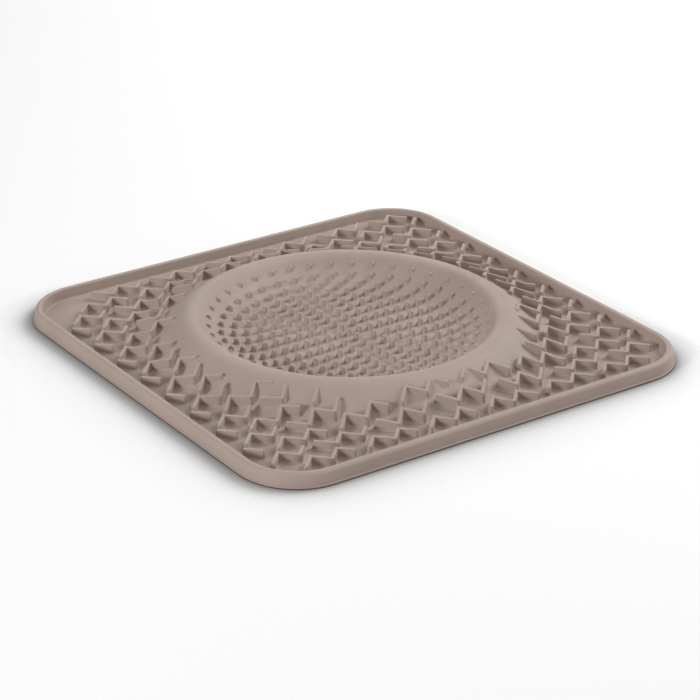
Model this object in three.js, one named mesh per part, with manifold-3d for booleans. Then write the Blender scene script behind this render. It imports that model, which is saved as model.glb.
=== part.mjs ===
// Lick mat: one moulded silicone tray with a raised ring, zigzag ribs round it and small nubs inside it.
// Millimetres, +Z up. The origin is the centre of the underside.
import * as THREE from "three";
import { mergeGeometries, mergeVertices } from "three/addons/utils/BufferGeometryUtils.js";
import Module from "manifold-3d";

// The square tray
const side = 254; // across the top of the rim
const cornerRadius = 30.7; // at the top of the rim, outside
const rimHeight = 7.2;
const rimTop = 3.4; // width of the rim's top
const rimFlare = 1.6; // the outer wall leans out this far at the bottom
const footHeight = 0.9; // thin lip along the bottom edge
const lipWidth = 0.6; // how far that lip stands out
const rimRound = 0.5; // rounding of the rim's two top edges
const shoulderDrop = 1.5; // the outer edge starts to round this far below the rim's top
const innerDraft = 0.7; // the inner wall leans in this far at the floor
const floorTop = 1.5; // thickness of the tray's floor
const cornerSteps = 8; // segments in one rounded corner

// The raised ring and the bowl inside it
const crestRadius = 80.3;
const crestHeight = 15;
const bowlFloor = 1.3;
const bowlFloorRadius = 46;
const ringFoot = 113; // where the ring's outer slope reaches the tray's floor
const ringSegments = 48;
const sweepSteps = 4; // straight pieces in each long curve of the ring's section
const roundSteps = 3; // straight pieces in the rounding on each side of the crest
const outerRound = { radius: 11, turn: 0.6 }; // the crest's rounding outwards, in mm and radians
const innerRound = { radius: 7.5, turn: 0.8 }; // and inwards
const outerFall = new THREE.Vector2(6.5, -4.3); // how the long curve leaves the outer rounding
const innerFall = new THREE.Vector2(-4.5, -4.9); // and the inner one
const outerTail = 101; // the radius from which the outer slope runs out on the floor
const innerTail = 62; // and the inner one, in the bowl

// The zigzag ribs: two kinds of chain, which mirror each other, on one lattice
const columnPitch = 23.45;
const rowPitch = 35.76;
const zigWidth = 7.4; // across one leg, along X
const legLength = 7.33; // along one leg, along Y
const legsPerChain = 4;
const ribTopWidth = 1.7;
const ribDraft = 0.12; // each side leans out by this much for each millimetre down
const ribTop = 5.7; // height of the rib tops on the flat floor
const ribRise = 0.3; // how fast the rib tops climb with the ring's slope
const ribRiseRadius = 112; // where they start to climb
const ribRoot = 0.7; // the ribs reach down to here, inside the floor
const ribEndCut = 2; // a free end that faces the mat's middle line is this much shorter than the other end
const columns = 10;
const rowsEachWay = 4; // rows of chains on either side of the middle one
const firstColumn = -4.75; // in column pitches; the mirrored chains stand half a column on
const clearCentre = new THREE.Vector2(-5, 0); // legs whose middle lies near this point are left out
const clearRadius = 90.6; // and this is how near
const chainReach = 95; // a chain that stays nearer to the mat's centre than this is left out whole
const fieldHalfY = 118.5; // no rib point lies past this
const cornerShare = 0.98;
const cornerReach = 220.15; // and cornerShare * |x| + |y| stays under this
const bareCorner = new THREE.Vector2(-95, -100); // chains centred past this corner point are left out

// The nubs: rings of small upright pins, four more in each ring than in the last, up to mostNubs
const nubPitch = 6.6;
const nubRings = 11;
const mostNubs = 40;
const nubTopHeight = 5;
const nubDepth = 4.6; // from the top down to the root
const nubSides = 3;
const nubTopRadius = 1.3; // to the corners of the top
const nubRootRadius = 2.5; // to the corners of the root, which lies inside the floor
const outerNubs = { 9: 6.2, 10: 8.2, 11: 11.6 }; // top heights of the outer rings, which climb the bowl's wall

const wasm = await Module();
wasm.setup();

// A closed geometry becomes a solid once its points are shared.
function solidOf(geometry) {
  const bare = geometry.index ? geometry.clone() : mergeVertices(geometry);
  bare.deleteAttribute("normal");
  bare.deleteAttribute("uv");
  const shared = mergeVertices(bare, 1e-4);
  return new wasm.Manifold(
    new wasm.Mesh({
      numProp: 3,
      vertProperties: new Float32Array(shared.attributes.position.array),
      triVerts: new Uint32Array(shared.index.array),
    }),
  );
}

function geometryOf(solid) {
  const mesh = solid.getMesh();
  const geometry = new THREE.BufferGeometry();
  geometry.setAttribute("position", new THREE.BufferAttribute(mesh.vertProperties, 3));
  geometry.setIndex(new THREE.BufferAttribute(mesh.triVerts, 1));
  geometry.computeVertexNormals();
  return geometry;
}

function bodyOf(points, faces) {
  const values = points.flatMap((p) => p.toArray());
  const geometry = new THREE.BufferGeometry();
  geometry.setAttribute("position", new THREE.Float32BufferAttribute(values, 3));
  geometry.setIndex(faces);
  return geometry;
}

// A closed body from loops of equal length, the first and last of them capped.
function loft(loops) {
  const count = loops[0].length;
  const points = loops.flat();
  const faces = [];
  for (let row = 0; row < loops.length - 1; row += 1) {
    for (let i = 0; i < count; i += 1) {
      const a = row * count + i;
      const b = row * count + ((i + 1) % count);
      faces.push(a, b, b + count, a, b + count, a + count);
    }
  }
  const outline = loops[0].map((p) => new THREE.Vector2(p.x, p.y));
  const last = (loops.length - 1) * count;
  for (const [a, b, c] of THREE.ShapeUtils.triangulateShape(outline, [])) {
    faces.push(c, b, a, last + a, last + b, last + c);
  }
  return bodyOf(points, faces);
}

// The tray's outline, moved out by grow, at height z.
function trayLoop(grow, z) {
  const radius = cornerRadius + grow;
  const centre = side / 2 - cornerRadius;
  const loop = [];
  for (let corner = 0; corner < 4; corner += 1) {
    const turn = (corner * Math.PI) / 2;
    const middle = new THREE.Vector2(centre, centre).rotateAround(new THREE.Vector2(), turn);
    for (let step = 0; step <= cornerSteps; step += 1) {
      const angle = turn + (step / cornerSteps) * (Math.PI / 2);
      const x = middle.x + radius * Math.cos(angle);
      const y = middle.y + radius * Math.sin(angle);
      loop.push(new THREE.Vector3(x, y, z));
    }
  }
  return loop;
}

// The tray: a rounded rim with a thin lip at its foot, round a sunk floor.
function tray() {
  const outside = loft([
    trayLoop(rimFlare, 0),
    trayLoop(rimFlare, footHeight),
    trayLoop(rimFlare - lipWidth, footHeight + lipWidth * 0.7),
    trayLoop(0, rimHeight - shoulderDrop),
    trayLoop(-rimRound, rimHeight - rimRound),
    trayLoop(-2 * rimRound, rimHeight),
  ]);
  const inside = loft([
    trayLoop(-rimTop - innerDraft, floorTop),
    trayLoop(-rimTop, rimHeight - rimRound),
    trayLoop(-rimTop + rimRound, rimHeight),
    trayLoop(-rimTop + rimRound, rimHeight + 1),
  ]);
  return solidOf(outside).subtract(solidOf(inside));
}

// One side of the ring, from the crest down, as points of radius and height. Sign is 1 outwards, -1 inwards.
function ringSide(sign, round, fall, tail, foot) {
  const crest = [];
  for (let step = 0; step <= roundSteps; step += 1) {
    const angle = (round.turn * step) / roundSteps;
    const radius = crestRadius + sign * round.radius * Math.sin(angle);
    const drop = round.radius * (1 - Math.cos(angle));
    crest.push(new THREE.Vector2(radius, crestHeight - drop));
  }
  const edge = crest.at(-1);
  const below = edge.clone().add(fall);
  const sweep = new THREE.CubicBezierCurve(edge, below, new THREE.Vector2(tail, foot.y), foot);
  return [...crest, ...sweep.getPoints(sweepSteps).slice(1)];
}

// A profile of radius and height, closed on the axis, turned round Z.
function turned(profile) {
  const geometry = new THREE.LatheGeometry(profile, ringSegments);
  geometry.rotateX(Math.PI / 2);
  return solidOf(geometry);
}

// The ring, standing on the tray's floor.
function ring() {
  const base = floorTop - 1;
  const foot = new THREE.Vector2(ringFoot, floorTop);
  const slope = ringSide(1, outerRound, outerFall, outerTail, foot).reverse();
  return turned([
    new THREE.Vector2(0, base),
    new THREE.Vector2(ringFoot, base),
    ...slope,
    new THREE.Vector2(0, crestHeight),
  ]);
}

// The space inside the ring.
function bowl() {
  const above = crestHeight + 5;
  const foot = new THREE.Vector2(bowlFloorRadius, bowlFloor);
  const wall = ringSide(-1, innerRound, innerFall, innerTail, foot);
  return turned([
    new THREE.Vector2(0, bowlFloor),
    ...wall.reverse(),
    new THREE.Vector2(crestRadius, above),
    new THREE.Vector2(0, above),
  ]);
}

function ribTopAt(x, y) {
  const inwards = Math.max(0, ribRiseRadius - Math.hypot(x, y));
  return ribTop + ribRise * inwards;
}

function clearOfRim(p) {
  return Math.abs(p.y) < fieldHalfY && cornerShare * Math.abs(p.x) + Math.abs(p.y) < cornerReach;
}

function clearOfRing(a, b) {
  return Math.hypot((a.x + b.x) / 2 - clearCentre.x, (a.y + b.y) / 2 - clearCentre.y) > clearRadius;
}

// The corner points of one chain of legs round a centre, as runs whose legs all lie in the ribbed field.
function chainRuns(centre, direction) {
  const corners = [];
  for (let i = 0; i <= legsPerChain; i += 1) {
    const x = centre.x + (direction * zigWidth * (i % 2 === 0 ? -1 : 1)) / 2;
    const y = centre.y + (i - legsPerChain / 2) * legLength;
    corners.push(new THREE.Vector3(x, y, ribTopAt(x, y)));
  }
  const runs = [[corners[0]]];
  for (let i = 1; i <= legsPerChain; i += 1) {
    const [a, b] = [corners[i - 1], corners[i]];
    if (clearOfRim(a) && clearOfRim(b) && clearOfRing(a, b)) {
      runs.at(-1).push(b);
    } else {
      runs.push([b]);
    }
  }
  const reaches = (run) => run.some((p) => Math.hypot(p.x, p.y) > chainReach);
  return runs.filter((run) => run.length > 1 && reaches(run));
}

// One zigzag rib: a ridge with leaning sides along a run of points.
function rib(run) {
  const flat = run.map((p) => new THREE.Vector2(p.x, p.y));
  const ways = flat.slice(1).map((p, i) => p.clone().sub(flat[i]).normalize());
  const loops = run.map((p, i) => {
    const before = ways[Math.max(i - 1, 0)];
    const after = ways[Math.min(i, ways.length - 1)];
    const along = before.clone().add(after).normalize();
    const across = new THREE.Vector2(-along.y, along.x);
    const stretch = 1 / along.dot(after);
    const end = i === 0 ? -1 : i === run.length - 1 ? 1 : 0;
    const neighbour = run[i === 0 ? 1 : i - 1];
    const cut = Math.abs(p.y) < Math.abs(neighbour.y) ? ribEndCut : 0;
    const corner = (width, z) => {
      const past = end * (Math.abs(width) / 2 - cut);
      const shift = across.clone().multiplyScalar((width * stretch) / 2).addScaledVector(along, past);
      return new THREE.Vector3(p.x + shift.x, p.y + shift.y, z);
    };
    const rootWidth = ribTopWidth + 2 * ribDraft * (p.z - ribRoot);
    const root = [corner(-rootWidth, ribRoot), corner(rootWidth, ribRoot)];
    return [...root, corner(ribTopWidth, p.z), corner(-ribTopWidth, p.z)];
  });
  return ridge(loops);
}

// A closed body through four-cornered sections.
function ridge(sections) {
  const points = sections.flat();
  const last = points.length - 4;
  const faces = [0, 2, 1, 0, 3, 2, last, last + 1, last + 2, last, last + 2, last + 3];
  for (let row = 0; row < sections.length - 1; row += 1) {
    for (let i = 0; i < 4; i += 1) {
      const a = row * 4 + i;
      const b = row * 4 + ((i + 1) % 4);
      faces.push(a, b, b + 4, a, b + 4, a + 4);
    }
  }
  return bodyOf(points, faces);
}

// All ribs. Even rows hold one kind of chain, and the rows half a pitch on hold its mirror image.
function ribs() {
  const pieces = [];
  for (let column = 0; column < columns; column += 1) {
    for (let row = -rowsEachWay; row <= rowsEachWay; row += 1) {
      const open = new THREE.Vector2((column + firstColumn) * columnPitch, row * rowPitch);
      const mirrored = new THREE.Vector2((column + firstColumn + 0.5) * columnPitch, (row + 0.5) * rowPitch);
      for (const [centre, direction] of [[open, 1], [mirrored, -1]]) {
        const bare = centre.x < bareCorner.x && centre.y < bareCorner.y;
        if (!bare) {
          pieces.push(...chainRuns(centre, direction).map(rib));
        }
      }
    }
  }
  return solidOf(mergeGeometries(pieces));
}

// One nub: a pin that narrows towards its flat top.
function nub(x, y, top) {
  const loop = (radius, z) => {
    const corners = [];
    for (let i = 0; i < nubSides; i += 1) {
      const angle = (i / nubSides) * Math.PI * 2;
      corners.push(new THREE.Vector3(x + radius * Math.cos(angle), y + radius * Math.sin(angle), z));
    }
    return corners;
  };
  return loft([loop(nubRootRadius, top - nubDepth), loop(nubTopRadius, top)]);
}

function nubs() {
  const pieces = [nub(0, 0, nubTopHeight)];
  for (let ringNumber = 1; ringNumber <= nubRings; ringNumber += 1) {
    const count = Math.min(4 * ringNumber, mostNubs);
    const radius = nubPitch * ringNumber;
    const tip = outerNubs[ringNumber] ?? nubTopHeight;
    for (let i = 0; i < count; i += 1) {
      const angle = (i / count) * Math.PI * 2;
      pieces.push(nub(radius * Math.cos(angle), radius * Math.sin(angle), tip));
    }
  }
  return solidOf(mergeGeometries(pieces));
}

const silicone = new THREE.MeshStandardMaterial({ color: 0xab9a90, roughness: 0.6, metalness: 0 });

const matSolid = tray().add(ring()).subtract(bowl()).add(ribs()).add(nubs());
const mat = new THREE.Mesh(geometryOf(matSolid), silicone);
mat.name = "mat";

const lickMat = new THREE.Group();
lickMat.add(mat);

export default lickMat;
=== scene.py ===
# %% [markdown]
# # A silicone lick mat, from its solid to its finished look
#
# The object is one moulding: a square tray with a low rim, a raised ring in the middle, zigzag ribs
# round the ring and small pins inside it. Soft food is spread over it, and a pet licks it out of the
# gaps. The plain solid gives the sizes. This script makes the same forms again with the rounding
# that a mould leaves, in metres and in the same frame, and then lights them as the photograph does.

import math

import bpy
import numpy as np
from mathutils import Matrix, Vector


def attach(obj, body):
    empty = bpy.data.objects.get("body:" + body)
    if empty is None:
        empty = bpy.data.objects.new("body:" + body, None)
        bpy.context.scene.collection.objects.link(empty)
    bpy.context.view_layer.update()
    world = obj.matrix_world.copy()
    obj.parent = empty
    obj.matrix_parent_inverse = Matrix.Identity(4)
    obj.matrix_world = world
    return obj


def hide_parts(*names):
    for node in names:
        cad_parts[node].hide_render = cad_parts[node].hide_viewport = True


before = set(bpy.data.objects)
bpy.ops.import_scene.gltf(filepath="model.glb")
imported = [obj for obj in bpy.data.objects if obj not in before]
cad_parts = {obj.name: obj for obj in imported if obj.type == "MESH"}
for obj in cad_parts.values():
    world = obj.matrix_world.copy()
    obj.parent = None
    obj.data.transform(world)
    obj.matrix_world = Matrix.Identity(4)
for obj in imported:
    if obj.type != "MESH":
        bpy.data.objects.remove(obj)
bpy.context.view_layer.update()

# %% [markdown]
# ## Units
#
# The mat's sizes are in millimetres, as a mould maker would write them, and are turned into metres
# only when a mesh is built. A size that the solid has too has the same value here, so the two agree.
# Only the pins differ: they are round, and up to half a millimetre taller than the solid's. The floor,
# the camera and the lights are placed in metres.

# %% Units
MM = 0.001
print("one unit of the sizes is", MM, "m")

# %% [markdown]
# ## From points to a mesh
#
# Every form here is a grid of points, made of closed rows that lie one inside the other. It could be
# modelled by hand with bevels and booleans, but a grid follows the solid's own numbers and leaves no
# stray faces. One helper joins neighbouring rows with four-sided faces, and another makes the object.

# %% Helpers for grids of points
def grid_faces(rows, columns, start=0, inside_out=False):
    """Four-sided faces between closed rows, which follow each other from the outside in or out."""
    faces = []
    for row in range(rows - 1):
        for i in range(columns):
            a = start + row * columns + i
            b = start + row * columns + (i + 1) % columns
            if inside_out:
                faces.append((a, a + columns, b + columns, b))
            else:
                faces.append((a, b, b + columns, a + columns))
    return faces


def make_object(name, points, faces):
    """A smooth mesh object from points in millimetres."""
    mesh = bpy.data.meshes.new(name)
    mesh.from_pydata((np.asarray(points) * MM).tolist(), [], faces)
    mesh.validate()
    mesh.polygons.foreach_set("use_smooth", [True] * len(mesh.polygons))
    mesh.update()
    made = bpy.data.objects.new(name, mesh)
    bpy.context.scene.collection.objects.link(made)
    triangles = sum(len(polygon.vertices) - 2 for polygon in mesh.polygons)
    print(name, len(mesh.vertices), "points,", triangles, "triangles")
    return made


# %% [markdown]
# ## The section of the ring
#
# The ring is a soft hill: its crest is an arc, and two long curves run from it down to the tray's
# floor outside and to the bowl's floor inside. On the real mat it makes a dish that food stays in,
# with an outside that a tongue can run up. A Screw modifier could turn the section round the middle.
# It stays a list of points here, because the same list later tells each rib and nub how high the
# surface lies under it, so that their feet follow it.

# %% Sizes of the ring and the bowl
FLOOR_TOP = 1.5
BOWL_FLOOR = 1.3
BOWL_FLOOR_RADIUS = 46.0
CREST_RADIUS = 80.3
CREST_HEIGHT = 15.0
SHOULDER_RADIUS = 11.0
SHOULDER_ANGLE = 0.6
LIP_RADIUS = 7.5
LIP_ANGLE = 0.8
RING_FOOT = 113.0
print("ring from", 2 * BOWL_FLOOR_RADIUS, "to", 2 * RING_FOOT, "mm across,", CREST_HEIGHT, "mm high")

# %% [markdown]
# Each long curve is a cubic one. Its first pull is given as a step from the end of the arc, and sets
# how steeply the curve leaves the crest. Its second is a radius on the floor, and sets how gently the
# curve lands there.

# %% The curves of the ring
SHOULDER_STEPS = 9
LIP_STEPS = 11
SWEEP_STEPS = 22
OUTER_FALL = (6.5, -4.3)
OUTER_TAIL = 101.0
INNER_FALL = (-4.5, -4.9)
INNER_TAIL = 62.0


def arc(radius, angle, side, steps):
    """Points down from the crest along an arc, towards side 1 (outside) or -1 (inside)."""
    turn = np.linspace(0, angle, steps)
    out = CREST_RADIUS + side * radius * np.sin(turn)
    return np.column_stack([out, CREST_HEIGHT - radius * (1 - np.cos(turn))])


def bezier(p0, p1, p2, p3, steps):
    """Points along a cubic curve, without its first."""
    t = np.linspace(0, 1, steps + 1)[1:, None]
    p0, p1, p2, p3 = (np.asarray(p) for p in (p0, p1, p2, p3))
    return (1 - t) ** 3 * p0 + 3 * (1 - t) ** 2 * t * p1 + 3 * (1 - t) * t**2 * p2 + t**3 * p3


def outer_slope():
    shoulder = arc(SHOULDER_RADIUS, SHOULDER_ANGLE, 1, SHOULDER_STEPS)
    top = shoulder[-1]
    tail, foot = (OUTER_TAIL, FLOOR_TOP), (RING_FOOT, FLOOR_TOP)
    return np.vstack([shoulder, bezier(top, top + OUTER_FALL, tail, foot, SWEEP_STEPS)])


def bowl_wall():
    lip = arc(LIP_RADIUS, LIP_ANGLE, -1, LIP_STEPS)
    edge = lip[-1]
    tail, foot = (INNER_TAIL, BOWL_FLOOR), (BOWL_FLOOR_RADIUS, BOWL_FLOOR)
    return np.vstack([lip, bezier(edge, edge + INNER_FALL, tail, foot, SWEEP_STEPS)])


OUTSIDE = outer_slope()
INSIDE = bowl_wall()


def surface(x, y):
    """Height of the bare mat, without ribs and nubs, at a place inside the rim."""
    radius = np.hypot(x, y)
    outer = np.interp(radius, OUTSIDE[:, 0], OUTSIDE[:, 1])
    inner = np.interp(radius, INSIDE[::-1, 0], INSIDE[::-1, 1])
    return np.where(radius > CREST_RADIUS, outer, inner)


for place_name, radius in (("foot", RING_FOOT), ("crest", CREST_RADIUS), ("centre", 0.0)):
    print("surface at the ring's", place_name, "is", round(float(surface(radius, 0.0)), 3), "mm high")

# %% [markdown]
# ## The tray
#
# The tray is one skin. It starts at the edge of the flat underside, goes up the outer wall with its
# thin lip, over the rounded rim, down the inner wall, across the floor, over the ring and down to
# the bowl's centre. The outline is a rounded square, and a loop further in has a smaller corner
# radius. Past the floor the loops are circles, with their points on the same rays, so that the square
# turns into the round without a seam.

# %% Loops of the tray
SIDE = 254.0
CORNER_RADIUS = 30.7
CORNER_STEPS = 16
EDGE_STEPS = 80


def rim_outline(grow):
    """The rounded square, moved out by grow, counter-clockwise from the right-hand edge's end."""
    centre = SIDE / 2 - CORNER_RADIUS
    radius = CORNER_RADIUS + grow
    turn = np.linspace(0, math.pi / 2, CORNER_STEPS + 1)
    corner = np.column_stack([centre + radius * np.cos(turn), centre + radius * np.sin(turn)])
    along = np.linspace(centre, -centre, EDGE_STEPS + 1)[1:-1]
    edge = np.column_stack([along, np.full_like(along, centre + radius)])
    quarter = np.vstack([corner, edge])
    turned = []
    for _ in range(4):
        turned.append(quarter)
        quarter = np.column_stack([-quarter[:, 1], quarter[:, 0]])
    return np.vstack(turned)


def rounded(start, corner, end, steps):
    """Points of an edge's rounding from start to end, a quarter circle where the corner is square."""
    t = np.linspace(0, 1, steps + 1)[:, None]
    start, corner, end = (np.asarray(p, float) for p in (start, corner, end))
    weight = math.sqrt(0.5)
    share = (1 - t) ** 2 + 2 * weight * (1 - t) * t + t**2
    return ((1 - t) ** 2 * start + 2 * weight * (1 - t) * t * corner + t**2 * end) / share


print("one loop of the tray has", len(rim_outline(0)), "points")

# %% [markdown]
# The rim's section is written as (how far out, how high), where out is measured from the side of the
# square. Its lip is a thin step round the foot, the outer top edge is well rounded, and the inner one
# is crisper. The walls lean a little, so that the mat leaves its mould, and each rounding leans with
# its wall. A Bevel modifier would round all of these edges alike, so each has its own numbers instead.

# %% Sizes of the rim
RIM_HEIGHT = 7.2
RIM_TOP_WIDTH = 3.4
RIM_FLARE = 1.6
FOOT_HEIGHT = 0.9
FOOT_ROUNDING = 0.2
LIP_ROUNDING = 0.3
WALL_SETBACK = 0.65
WALL_FILLET = 0.15
WALL_FILLET_UP = 0.25
WALL_LEAN = 0.03
TOP_ROUNDING = 1.5
TOP_ROUNDING_DOWN = 1.7
TOP_LEAN = 0.2
INNER_DRAFT = 0.7
INNER_ROUNDING = 0.5
INNER_FILLET = 0.9
INNER_LEAN = 0.05
FINE_STEPS = 3
TOP_STEPS = 8
INNER_TOP_STEPS = 4
INNER_FOOT_STEPS = 6
print("rim", RIM_HEIGHT, "mm high,", round(SIDE + 2 * RIM_FLARE, 1), "mm wide over its foot")

# %% Section of the rim
def outer_side():
    """From the underside's edge up over the lip and the wall to the rim's flat top."""
    wall = RIM_FLARE - WALL_SETBACK
    lip_foot = rounded(
        (RIM_FLARE - FOOT_ROUNDING, 0),
        (RIM_FLARE, 0),
        (RIM_FLARE, FOOT_ROUNDING),
        FINE_STEPS,
    )
    lip_top = rounded(
        (RIM_FLARE, FOOT_HEIGHT - LIP_ROUNDING),
        (RIM_FLARE, FOOT_HEIGHT),
        (RIM_FLARE - LIP_ROUNDING, FOOT_HEIGHT),
        FINE_STEPS,
    )
    wall_foot = rounded(
        (wall + WALL_FILLET, FOOT_HEIGHT),
        (wall, FOOT_HEIGHT),
        (wall - WALL_LEAN, FOOT_HEIGHT + WALL_FILLET_UP),
        FINE_STEPS,
    )
    top_edge = rounded(
        (TOP_LEAN, RIM_HEIGHT - TOP_ROUNDING_DOWN),
        (0, RIM_HEIGHT),
        (-TOP_ROUNDING, RIM_HEIGHT),
        TOP_STEPS,
    )
    return [lip_foot, lip_top, wall_foot, top_edge]


def inner_side():
    """From the rim's flat top down the inner wall to the tray's floor."""
    edge = -RIM_TOP_WIDTH
    foot = edge - INNER_DRAFT
    inner_edge = rounded(
        (edge + INNER_ROUNDING, RIM_HEIGHT),
        (edge, RIM_HEIGHT),
        (edge - INNER_LEAN, RIM_HEIGHT - INNER_ROUNDING),
        INNER_TOP_STEPS,
    )
    inner_foot = rounded(
        (foot, FLOOR_TOP + INNER_FILLET),
        (foot - INNER_LEAN, FLOOR_TOP),
        (foot - INNER_FILLET, FLOOR_TOP),
        INNER_FOOT_STEPS,
    )
    return [inner_edge, inner_foot]


rim_section = np.vstack(outer_side() + inner_side())
print("the rim's section has", len(rim_section), "points")

# %% Build the tray
FLOOR_SHARES = (0.33, 0.66)
BOWL_LOOP_RADII = (34.0, 22.0, 12.0, 4.0)


def loop_at(outline, z):
    return np.column_stack([outline, np.full(len(outline), z)])


def tray():
    loops = [loop_at(rim_outline(grow), z) for grow, z in rim_section]
    floor_edge = rim_outline(rim_section[-1][0])
    rays = floor_edge / np.linalg.norm(floor_edge, axis=1)[:, None]
    foot_circle = rays * RING_FOOT
    for share in FLOOR_SHARES:
        loops.append(loop_at(floor_edge + share * (foot_circle - floor_edge), FLOOR_TOP))
    for radius, z in OUTSIDE[::-1]:
        loops.append(loop_at(rays * radius, z))
    for radius, z in INSIDE[1:]:
        loops.append(loop_at(rays * radius, z))
    for radius in BOWL_LOOP_RADII:
        loops.append(loop_at(rays * radius, BOWL_FLOOR))
    count = len(rays)
    points = np.vstack(loops + [np.array([[0, 0, BOWL_FLOOR]])])
    faces = grid_faces(len(loops), count)
    last = (len(loops) - 1) * count
    centre = len(points) - 1
    faces += [(last + i, last + (i + 1) % count, centre) for i in range(count)]
    faces.append(tuple(range(count - 1, -1, -1)))
    return make_object("tray", points, faces)


tray_object = tray()

# %% [markdown]
# ## The ribs
#
# The ribs are zigzag chains of four legs each, with corners near a right angle. There are two kinds,
# which mirror each other, and the rows of one kind lie half a pitch beyond the rows of the other, so
# that no straight groove runs across the mat. An Array modifier could repeat them, but near the rim
# and the ring the chains are cut off, so a loop places each one and drops the legs that would stand
# too close. One corner of the mat is left bare, as it is in the photograph.

# %% Sizes of the ribs
COLUMNS = 10
ROWS_EACH_WAY = 4
FIRST_COLUMN = -4.75
COLUMN_PITCH = 23.45
ROW_PITCH = 35.76
ZIG_WIDTH = 7.4
LEG_ADVANCE = 7.33
LEGS_PER_CHAIN = 4
RIB_TOP = 5.7
RIB_RISE = 0.3
RIB_RISE_RADIUS = 112.0
CLEAR_CENTRE = (-5.0, 0.0)
CLEAR_RADIUS = 90.6  # a leg whose middle lies this near to that place is left out
CHAIN_REACH = 95.0  # a run that stays within this radius is left out
FIELD_HALF_Y = 118.5  # no leg reaches further than this along Y
CORNER_SHARE = 0.98
CORNER_REACH = 220.15  # nor do CORNER_SHARE of its X and all of its Y add up to more
BARE_CORNER = (-95.0, -100.0)  # a chain whose middle lies beyond both is left out
print("ribs", RIB_TOP - FLOOR_TOP, "mm over the floor, a chain every", COLUMN_PITCH, "by", ROW_PITCH, "mm")

# %% Where the chains of ribs run
def rib_top(x, y):
    """Height of the rib tops, which climb with the ring's slope."""
    return RIB_TOP + RIB_RISE * np.maximum(0, RIB_RISE_RADIUS - np.hypot(x, y))


def clear_of_rim(p):
    return abs(p[1]) < FIELD_HALF_Y and CORNER_SHARE * abs(p[0]) + abs(p[1]) < CORNER_REACH


def clear_of_ring(a, b):
    return math.dist(((a[0] + b[0]) / 2, (a[1] + b[1]) / 2), CLEAR_CENTRE) > CLEAR_RADIUS


def chain_runs(centre_x, centre_y, direction):
    """The corner points of one chain, as runs whose legs all lie in the ribbed field."""
    corners = []
    for i in range(LEGS_PER_CHAIN + 1):
        side = -1 if i % 2 == 0 else 1
        x = centre_x + direction * side * ZIG_WIDTH / 2
        corners.append((x, centre_y + (i - LEGS_PER_CHAIN / 2) * LEG_ADVANCE))
    runs = [[corners[0]]]
    for a, b in zip(corners, corners[1:]):
        if clear_of_rim(a) and clear_of_rim(b) and clear_of_ring(a, b):
            runs[-1].append(b)
        else:
            runs.append([b])
    runs = [run for run in runs if len(run) > 1]
    return [np.array(run) for run in runs if max(math.hypot(*p) for p in run) > CHAIN_REACH]


def all_runs():
    runs = []
    for column in range(COLUMNS):
        for row in range(-ROWS_EACH_WAY, ROWS_EACH_WAY + 1):
            place = column + FIRST_COLUMN
            chains = (
                (place * COLUMN_PITCH, row * ROW_PITCH, 1),
                ((place + 0.5) * COLUMN_PITCH, (row + 0.5) * ROW_PITCH, -1),
            )
            for x, y, direction in chains:
                if not (x < BARE_CORNER[0] and y < BARE_CORNER[1]):
                    runs += chain_runs(x, y, direction)
    return runs


runs = all_runs()
print("ribs:", len(runs), "of 1 to", LEGS_PER_CHAIN, "legs each")

# %% [markdown]
# A rib's section is half a ridge: a flat top, a small rounding, a wall that leans out so that the
# rib leaves the mould, and a hollow fillet where it meets the floor. Each point of it is given as how
# far out it is and how high over the floor. Where a rib runs into the ring's slope it gets lower, and
# both roundings shrink with it. Where it would be lower than the least height it is buried instead.
# Its foot sinks a hair into the floor, so that no gap shows between the two.

# %% Section of a rib
RIB_TOP_WIDTH = 1.7
RIB_DRAFT = 0.12
RIB_EDGE = 0.25
RIB_FILLET = 0.9
RIB_STRAIGHT = 0.4
ROUNDING_LEAN = 0.1
LEAST_ROUNDING = 0.02
LEAST_HEIGHT = 0.05
BURIED_DEPTH = 0.5
SINK = 0.04
EDGE_POINTS = 3
FILLET_POINTS = 4


def half_section(height):
    """Rows of (out, up from the floor) from the middle of the top down to the foot."""
    size = min(1.0, max(LEAST_ROUNDING, height / (RIB_EDGE + RIB_FILLET + RIB_STRAIGHT)))
    edge, fillet = RIB_EDGE * size, RIB_FILLET * size
    half = RIB_TOP_WIDTH / 2
    foot = half + RIB_DRAFT * height
    wall_top = (half + ROUNDING_LEAN * edge, height - edge)
    wall_foot = (foot - ROUNDING_LEAN * fillet, fillet)
    top = rounded((half - edge, height), (half, height), wall_top, EDGE_POINTS)
    bottom = rounded(wall_foot, (foot, 0), (foot + fillet, 0), FILLET_POINTS)
    return np.vstack([[(0, height)], top, bottom])


SECTION_ROWS = len(half_section(RIB_TOP - FLOOR_TOP))
print("half a rib's section has", SECTION_ROWS, "points")


def section_at(x, y, out_x, out_y):
    """Points of half a section that stands at (x, y) and spreads along (out_x, out_y)."""
    height = float(rib_top(x, y) - surface(x, y))
    section = half_section(max(height, LEAST_HEIGHT))
    px = x + out_x * section[:, 0]
    py = y + out_y * section[:, 0]
    share = section[:, 1] / max(height, LEAST_HEIGHT)
    z = surface(px, py) - SINK + share * (rib_top(px, py) - surface(px, py) + SINK)
    drop = BURIED_DEPTH if height < LEAST_HEIGHT else 0.0
    return np.column_stack([px, py, z - drop])


# %% [markdown]
# Along a chain the section is mitred at each corner and stays straight between two corners. Each end
# is closed by half a turn of the section round the last point. That alone would draw a round end, so
# the section reaches further out at the diagonals, which makes the end blunt.

# %% Ways along and across a rib
SLOPE_STEPS = 6
FLAT_STEPS = 2
END_STEPS = 8
END_SQUARENESS = 3.5
RIB_END_CUT = 2.0


def leg_steps(a, b):
    """More sections where the surface under the leg is curved."""
    return SLOPE_STEPS if min(np.hypot(*a), np.hypot(*b)) < RING_FOOT else FLAT_STEPS


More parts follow.
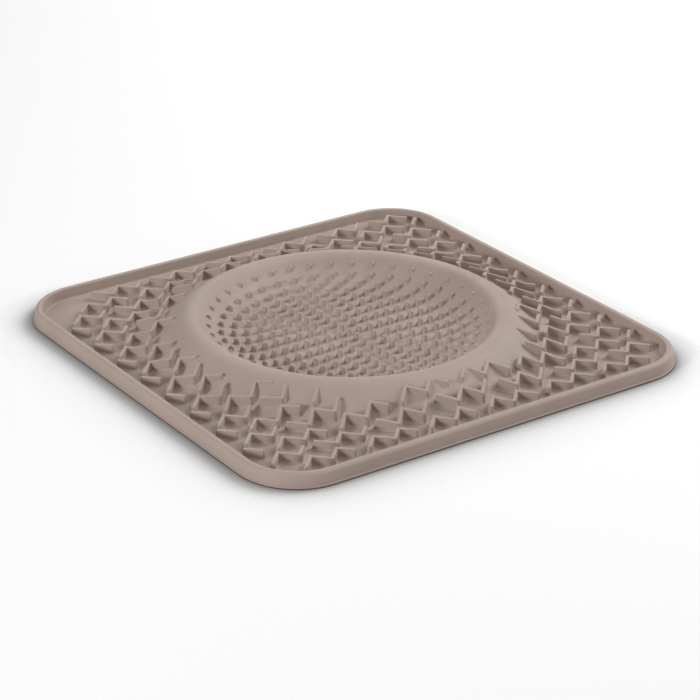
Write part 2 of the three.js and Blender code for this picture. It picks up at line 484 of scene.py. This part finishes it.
def across_at(run):
    """The mitred sideways direction at each point of a run, to the left of the way along it."""
    ways = np.diff(run, axis=0)
    ways /= np.linalg.norm(ways, axis=1)[:, None]
    result = []
    for i in range(len(run)):
        before, after = ways[max(i - 1, 0)], ways[min(i, len(ways) - 1)]
        along = before + after
        along /= np.linalg.norm(along)
        result.append(np.array([-along[1], along[0]]) / along.dot(after))
    return result


def turned_by(way, angle):
    """A way turned by an angle, and longer at the diagonals."""
    c, s = math.cos(angle), math.sin(angle)
    size = (abs(c) ** END_SQUARENESS + abs(s) ** END_SQUARENESS) ** (-1 / END_SQUARENESS)
    return (size * (c * way[0] - s * way[1]), size * (s * way[0] + c * way[1]))


def cut_back(run):
    """The run with each free end that faces the mat's middle line drawn back along its leg."""
    result = np.array(run, float)
    for end, inner in ((0, 1), (-1, -2)):
        way = result[inner] - result[end]
        if abs(result[end][1]) < abs(result[inner][1]):
            result[end] += way / np.linalg.norm(way) * RIB_END_CUT
    return result


print("ends toward the middle line are drawn back by", RIB_END_CUT, "mm")

# %% Build the ribs
def rib(run):
    """Sections all the way round one rib: up its right side, and back along its left side."""
    across = across_at(run)
    right, left = [], []
    for i in range(len(run) - 1):
        steps = leg_steps(run[i], run[i + 1])
        for step in range(steps + (i == len(run) - 2)):
            t = step / steps
            x, y = run[i] + t * (run[i + 1] - run[i])
            out = across[i] + t * (across[i + 1] - across[i])
            right.append(section_at(x, y, -out[0], -out[1]))
            left.append(section_at(x, y, out[0], out[1]))
    turn = np.linspace(0, math.pi, END_STEPS + 1)[1:-1]
    far_end = [section_at(*run[-1], *turned_by(-across[-1], angle)) for angle in turn]
    near_end = [section_at(*run[0], *turned_by(across[0], angle)) for angle in turn]
    return right + far_end + left[::-1] + near_end


def ribs():
    points, faces = [], []
    start = 0
    for run in runs:
        sections = rib(cut_back(run))
        points.append(np.stack(sections, axis=1).reshape(-1, 3))
        faces += grid_faces(SECTION_ROWS, len(sections), start, inside_out=True)
        start += len(points[-1])
    return make_object("ribs", np.vstack(points), faces)


rib_object = ribs()

# %% [markdown]
# ## The nubs
#
# The nubs are small round pins on circles, four more on each circle than on the last, so they line up
# along the mat's two axes. Each is thick at the foot and thin at the tip, because a pin without taper
# would tear when the mat is pulled from its mould, and its rounded tip catches the light. The outer
# circles climb the bowl's wall, and the eleventh has no more pins than the tenth. Copies of one pin
# would float or sink on that slope, so each pin is built where it stands, with a foot that follows it.

# %% Shape of a nub
NUB_TIP_RADIUS = 1.1
NUB_SLOPE = 0.2
NUB_ROUNDING = 0.9
NUB_FILLET = 0.5
NUB_STRAIGHT = 0.2
NUB_TOP = 5.4
NUB_SIDES = 20
TIP_POINTS = 4
FOOT_POINTS = 3


def nub_rows(height):
    """Rows of (radius, up from the floor) from the tip down to the foot."""
    size = min(1.0, height / (NUB_ROUNDING + NUB_FILLET + NUB_STRAIGHT))
    edge, fillet = NUB_ROUNDING * size, NUB_FILLET * size
    tip = NUB_TIP_RADIUS
    foot = tip + NUB_SLOPE * height
    wall_top = (tip + NUB_SLOPE * edge, height - edge)
    wall_foot = (foot - NUB_SLOPE * fillet, fillet)
    top = rounded((tip - edge, height), (tip, height), wall_top, TIP_POINTS)
    bottom = rounded(wall_foot, (foot, 0), (foot + fillet, 0), FOOT_POINTS)
    return np.vstack([top, bottom])


def nub_points(x, y, tip):
    """Points of the nub that stands at (x, y), with its foot on the surface round it."""
    height = tip - float(surface(x, y))
    rows = nub_rows(height)
    turn = np.arange(NUB_SIDES) * (2 * math.pi / NUB_SIDES)
    px = x + np.outer(rows[:, 0], np.cos(turn))
    py = y + np.outer(rows[:, 0], np.sin(turn))
    share = (rows[:, 1] / height)[:, None]
    ground = surface(px, py) - SINK
    return np.stack([px, py, ground + share * (tip - ground)], axis=-1).reshape(-1, 3)


print("the middle nub has", len(nub_points(0.0, 0.0, NUB_TOP)), "points")

# %% Build the nubs
NUB_PITCH = 6.6
NUB_RINGS = 11
NUBS_ADDED = 4
MOST_NUBS = 40
OUTER_NUBS = {9: 6.5, 10: 8.6, 11: 12.1}


def nub_places():
    """Where each nub stands, and how high its tip is over the underside."""
    places = [(0.0, 0.0, NUB_TOP)]
    for ring in range(1, NUB_RINGS + 1):
        count = min(NUBS_ADDED * ring, MOST_NUBS)
        radius = NUB_PITCH * ring
        tip = OUTER_NUBS.get(ring, NUB_TOP)
        for i in range(count):
            angle = i / count * 2 * math.pi
            places.append((radius * math.cos(angle), radius * math.sin(angle), tip))
    return places


def nubs():
    points, faces = [], []
    start = 0
    for x, y, tip in nub_places():
        one = nub_points(x, y, tip)
        faces += grid_faces(len(one) // NUB_SIDES, NUB_SIDES, start, inside_out=True)
        faces.append(tuple(range(start, start + NUB_SIDES)))
        points.append(one)
        start += len(one)
    return make_object("nubs", np.vstack(points), faces)


nub_object = nubs()

# %% [markdown]
# ## The silicone
#
# Moulded silicone is matte, with a fine even grain from the blasted mould and a faint cloudiness in
# its colour. Its shine is broad and weak. A picture would have to be unwrapped over hundreds of ribs
# and pins, so two noises in the object's own space make the grain and the cloudiness. The same
# material covers all the pieces because they are one moulding.

# %% Material
DARK_TONE = (0.372, 0.292, 0.252, 1)
LIGHT_TONE = (0.408, 0.322, 0.278, 1)
DARK_END, LIGHT_END = 0.3, 0.7
CLOUD_SCALE = 35.0
CLOUD_DETAIL = 4.0
GRAIN_SCALE = 2200.0
GRAIN_DETAIL = 2.0
GRAIN_STRENGTH = 0.25
GRAIN_DEPTH = 0.00012
LEAST_ROUGHNESS, MOST_ROUGHNESS = 0.52, 0.66
SILICONE_IOR = 1.41
SILICONE_SHINE = 0.35


def silicone():
    material = bpy.data.materials.new("silicone")
    material.use_nodes = True
    nodes, links = material.node_tree.nodes, material.node_tree.links
    shader = nodes["Principled BSDF"]
    shader.inputs["IOR"].default_value = SILICONE_IOR
    shader.inputs["Specular IOR Level"].default_value = SILICONE_SHINE
    place_node = nodes.new("ShaderNodeTexCoord")

    cloud = nodes.new("ShaderNodeTexNoise")
    cloud.inputs["Scale"].default_value = CLOUD_SCALE
    cloud.inputs["Detail"].default_value = CLOUD_DETAIL
    tint = nodes.new("ShaderNodeValToRGB")
    tint.color_ramp.elements[0].position = DARK_END
    tint.color_ramp.elements[0].color = DARK_TONE
    tint.color_ramp.elements[1].position = LIGHT_END
    tint.color_ramp.elements[1].color = LIGHT_TONE
    links.new(place_node.outputs["Object"], cloud.inputs["Vector"])
    links.new(cloud.outputs["Fac"], tint.inputs["Fac"])
    links.new(tint.outputs["Color"], shader.inputs["Base Color"])

    grain = nodes.new("ShaderNodeTexNoise")
    grain.inputs["Scale"].default_value = GRAIN_SCALE
    grain.inputs["Detail"].default_value = GRAIN_DETAIL
    links.new(place_node.outputs["Object"], grain.inputs["Vector"])

    shine = nodes.new("ShaderNodeMapRange")
    shine.inputs["To Min"].default_value = LEAST_ROUGHNESS
    shine.inputs["To Max"].default_value = MOST_ROUGHNESS
    links.new(grain.outputs["Fac"], shine.inputs["Value"])
    links.new(shine.outputs["Result"], shader.inputs["Roughness"])

    bump = nodes.new("ShaderNodeBump")
    bump.inputs["Strength"].default_value = GRAIN_STRENGTH
    bump.inputs["Distance"].default_value = GRAIN_DEPTH
    links.new(grain.outputs["Fac"], bump.inputs["Height"])
    links.new(bump.outputs["Normal"], shader.inputs["Normal"])
    return material


skin = silicone()
for piece in (tray_object, rib_object, nub_object):
    piece.data.materials.append(skin)
    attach(piece, "root")
    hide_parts("mat")
    print("silicone on", piece.name)

# %% [markdown]
# ## The floor
#
# The mat lies on white, and a wide matte plane is enough for that. Along the mat's two near sides,
# toward +X and -Y, the floor's colour carries a soft painted shadow, darker and wider than the lamps
# would cast, and hardly any along the far ones. So an Ambient Occlusion node darkens the floor's white
# colour where the mat stands near, a Gamma node deepens that painted shadow, and how far it reaches
# grows from the far corner to the near one.

# %% Floor
FLOOR_HALF_WIDTH = 6.0
FLOOR_DROP = 0.0002
FLOOR_WHITE = 0.985
FLOOR_ROUGHNESS = 0.9
FLOOR_SHINE = 0.1
NEAR_REACH = 0.042
FAR_REACH = 0.006
REACH_CHANGE = 0.15
PAINTED_SHADOW_DEPTH = 3.0


def painted_shadow_reach(nodes, links):
    """How far the painted contact shadow reaches at each place on the floor, as a node's output."""
    place_node = nodes.new("ShaderNodeTexCoord")
    parts = nodes.new("ShaderNodeSeparateXYZ")
    nearness = nodes.new("ShaderNodeMath")
    nearness.operation = "SUBTRACT"
    reach = nodes.new("ShaderNodeMapRange")
    reach.inputs["From Min"].default_value = -REACH_CHANGE
    reach.inputs["From Max"].default_value = REACH_CHANGE
    reach.inputs["To Min"].default_value = FAR_REACH
    reach.inputs["To Max"].default_value = NEAR_REACH
    links.new(place_node.outputs["Object"], parts.inputs["Vector"])
    links.new(parts.outputs["X"], nearness.inputs[0])
    links.new(parts.outputs["Y"], nearness.inputs[1])
    links.new(nearness.outputs["Value"], reach.inputs["Value"])
    return reach.outputs["Result"]


def floor_paint_with_painted_shadow():
    paint = bpy.data.materials.new("floor_white_with_painted_shadow")
    paint.use_nodes = True
    nodes, links = paint.node_tree.nodes, paint.node_tree.links
    shader = nodes["Principled BSDF"]
    shader.inputs["Roughness"].default_value = FLOOR_ROUGHNESS
    shader.inputs["Specular IOR Level"].default_value = FLOOR_SHINE
    # Painted shadow: ambient occlusion darkens the floor's white colour where the mat stands near.
    painted_shadow = nodes.new("ShaderNodeAmbientOcclusion")
    painted_shadow.inputs["Color"].default_value = (FLOOR_WHITE, FLOOR_WHITE, FLOOR_WHITE, 1)
    # The gamma deepens the painted shadow in the floor's colour.
    deepen = nodes.new("ShaderNodeGamma")
    deepen.inputs["Gamma"].default_value = PAINTED_SHADOW_DEPTH
    links.new(painted_shadow_reach(nodes, links), painted_shadow.inputs["Distance"])
    links.new(painted_shadow.outputs["Color"], deepen.inputs["Color"])
    links.new(deepen.outputs["Color"], shader.inputs["Base Color"])
    return paint


def floor():
    reach = FLOOR_HALF_WIDTH
    corners = [(-reach, -reach, 0), (reach, -reach, 0), (reach, reach, 0), (-reach, reach, 0)]
    mesh = bpy.data.meshes.new("floor")
    mesh.from_pydata(corners, [], [(0, 1, 2, 3)])
    mesh.materials.append(floor_paint_with_painted_shadow())
    made = bpy.data.objects.new("floor", mesh)
    made.location.z = -FLOOR_DROP
    bpy.context.scene.collection.objects.link(made)
    print("floor", 2 * FLOOR_HALF_WIDTH, "m wide")


floor()

# %% [markdown]
# ## The camera
#
# The camera stands where it stood for the photograph: off one corner of the mat, looking down at 25
# degrees, with a long lens. Its numbers come from matching the rim's edges, the corners of the ribs
# and a ring of nubs. The lens is written as a focal length in pixels of the photograph, which is 700
# pixels wide.

# %% Camera
YAW = math.radians(55.023)
PITCH = math.radians(25.036)
ROLL = math.radians(0.249)
DISTANCE = 1.249086
FOCAL_PIXELS = 2434.133
PHOTO_PIXELS = 700
FOCAL_SHARE = FOCAL_PIXELS / PHOTO_PIXELS
SENSOR_WIDTH = 36
AIM = Vector((0.012963, -0.008306, 0))


def way_out(azimuth, elevation):
    """A unit way out from the mat, from angles in radians. Azimuth runs from -Y toward +X."""
    level_part = math.cos(elevation)
    x, y = math.sin(azimuth) * level_part, -math.cos(azimuth) * level_part
    return Vector((x, y, math.sin(elevation)))


back = way_out(YAW, PITCH)
level = Vector((math.cos(YAW), math.sin(YAW), 0))
rise = back.cross(level)
right = level * math.cos(ROLL) + rise * math.sin(ROLL)
up = rise * math.cos(ROLL) - level * math.sin(ROLL)

lens = bpy.data.cameras.new("camera")
lens.sensor_width = SENSOR_WIDTH
lens.lens = lens.sensor_width * FOCAL_SHARE
camera = bpy.data.objects.new("camera", lens)
bpy.context.scene.collection.objects.link(camera)
turned = Matrix((right, up, back)).transposed().to_4x4()
camera.matrix_world = Matrix.Translation(AIM + back * DISTANCE) @ turned
bpy.context.scene.camera = camera
print("camera at", [round(v, 3) for v in camera.matrix_world.translation], "m")
print("lens", round(lens.lens, 1), "mm")

# %% [markdown]
# ## The light
#
# The mat is lit from several sides by soft round panels. A wide one behind it gives the most light
# and brightens the crest. A low one at the left throws the small dark triangles into the corners of
# the ribs and draws a shadow from nub to nub. Weaker ones at the back left, at the right and above
# open the near edge and lift the rib tops, and a faint even light comes from all round.

# %% Lights
PANEL_DISTANCE = 1.6
SKY_STRENGTH = 0.15


def panel(name, azimuth, elevation, size, power):
    """A soft round panel that faces the mat, placed by angles in degrees."""
    away = way_out(math.radians(azimuth), math.radians(elevation))
    light = bpy.data.lights.new(name, "AREA")
    light.shape = "DISK"
    light.size = size
    light.energy = power
    made = bpy.data.objects.new(name, light)
    made.location = away * PANEL_DISTANCE
    made.rotation_euler = away.to_track_quat("Z", "Y").to_euler()
    bpy.context.scene.collection.objects.link(made)
    print(name, "gives", power, "W")


panel("left_panel", azimuth=12, elevation=19, size=0.4, power=14)
panel("back_panel", azimuth=182, elevation=36, size=0.9, power=18)
panel("back_left_panel", azimuth=240, elevation=20, size=0.8, power=4.5)
panel("right_panel", azimuth=118, elevation=15, size=0.6, power=3.5)
panel("top_panel", azimuth=0, elevation=88, size=0.8, power=6.5)

world = bpy.data.worlds.new("studio")
world.use_nodes = True
sky = world.node_tree.nodes["Background"]
sky.inputs["Color"].default_value = (1, 1, 1, 1)
sky.inputs["Strength"].default_value = SKY_STRENGTH
bpy.context.scene.world = world
bpy.context.scene.view_settings.view_transform = "Standard"
